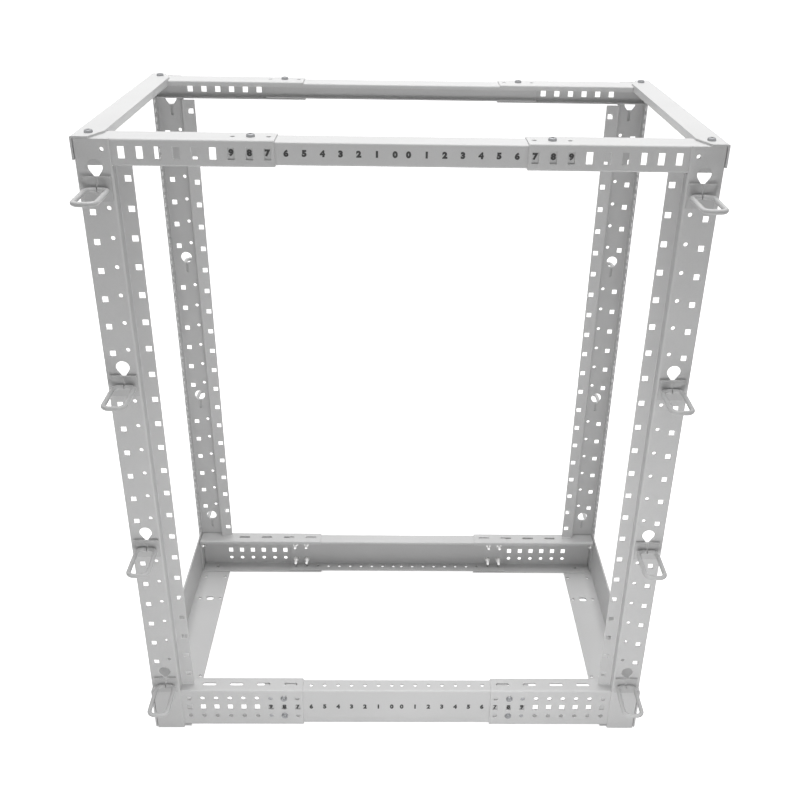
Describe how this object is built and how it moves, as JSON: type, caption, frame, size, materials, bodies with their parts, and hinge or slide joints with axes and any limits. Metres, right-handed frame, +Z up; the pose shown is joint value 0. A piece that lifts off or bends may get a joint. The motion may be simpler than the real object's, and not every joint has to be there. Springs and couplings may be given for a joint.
{
  "type": "four post open frame rack",
  "caption": "Open rack frame of bent sheet steel: posts with square mounting holes, telescoping depth rails with windows, crossbars, and cable rings on the sides.",
  "frame": {"origin": "on the floor below the centre of the rack", "axes": "+Z up; X along the depth, -X the front; Y across the width, -Y the right side seen from the front"},
  "size_m": [0.9168, 0.668, 1.1172],
  "materials": {
    "frame_coat": "satin grey powder coat",
    "ring_coat": "satin grey powder coat"
  },
  "bodies": {
    "front_frame": {"front_right_post": "frame_coat", "front_right_top_rail": "frame_coat", "front_right_bottom_rail": "frame_coat", "front_right_cable_ring_1": "ring_coat", "front_right_cable_ring_2": "ring_coat", "front_right_cable_ring_3": "ring_coat", "front_right_cable_ring_4": "ring_coat", "front_left_post": "frame_coat", "front_left_top_rail": "frame_coat", "front_left_bottom_rail": "frame_coat", "front_left_cable_ring_1": "ring_coat", "front_left_cable_ring_2": "ring_coat", "front_left_cable_ring_3": "ring_coat", "front_left_cable_ring_4": "ring_coat", "front_top_crossbar": "frame_coat", "front_bottom_crossbar": "frame_coat"},
    "sleeves": {"right_top_sleeve": "frame_coat", "right_bottom_sleeve": "frame_coat", "left_top_sleeve": "frame_coat", "left_bottom_sleeve": "frame_coat"},
    "rear_frame": {"rear_right_post": "frame_coat", "rear_right_top_rail": "frame_coat", "rear_right_bottom_rail": "frame_coat", "rear_right_cable_ring_1": "ring_coat", "rear_right_cable_ring_2": "ring_coat", "rear_right_cable_ring_3": "ring_coat", "rear_right_cable_ring_4": "ring_coat", "rear_left_post": "frame_coat", "rear_left_top_rail": "frame_coat", "rear_left_bottom_rail": "frame_coat", "rear_left_cable_ring_1": "ring_coat", "rear_left_cable_ring_2": "ring_coat", "rear_left_cable_ring_3": "ring_coat", "rear_left_cable_ring_4": "ring_coat", "rear_top_crossbar": "frame_coat", "rear_bottom_crossbar": "frame_coat"}
  },
  "joints": [
    {"name": "front_depth_slide", "type": "slide", "parent": "front_frame", "child": "sleeves", "axis": [-1, 0, 0], "range_m": [0, 0.1524]},
    {"name": "rear_depth_slide", "type": "slide", "parent": "sleeves", "child": "rear_frame", "axis": [-1, 0, 0], "range_m": [0, 0.1524]}
  ]
}
